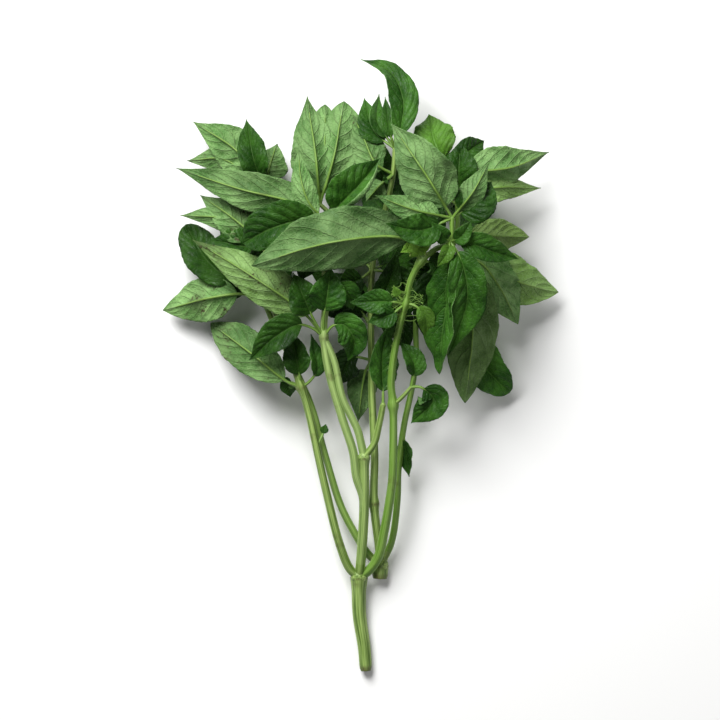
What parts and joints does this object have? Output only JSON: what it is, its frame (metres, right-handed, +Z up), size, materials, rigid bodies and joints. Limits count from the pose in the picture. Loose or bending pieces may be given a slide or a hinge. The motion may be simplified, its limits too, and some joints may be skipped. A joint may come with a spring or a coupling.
{
  "type": "basil bunch",
  "caption": "Bunch of fresh basil lying down, with forked cut stems that spread into overlapping pointed leaves, dark above and pale beneath.",
  "frame": {"origin": "on the table, under the middle of the lying bunch", "axes": "+Y along the bunch from the cut ends to the leaf tips, +Z up from the table, +X to the right of the picture"},
  "size_m": [0.1989, 0.3077, 0.0698],
  "materials": {
    "leaf": "satin leaf, dark above and pale beneath",
    "stem": "satin green stem"
  },
  "bodies": {
    "root": {"front_stock": "stem", "front_left_stem": "leaf", "front_middle_stem": "leaf", "front_right_stem": "leaf", "back_stock": "stem", "back_left_stem": "leaf", "back_middle_stem": "leaf", "back_right_stem": "leaf"}
  },
  "joints": []
}
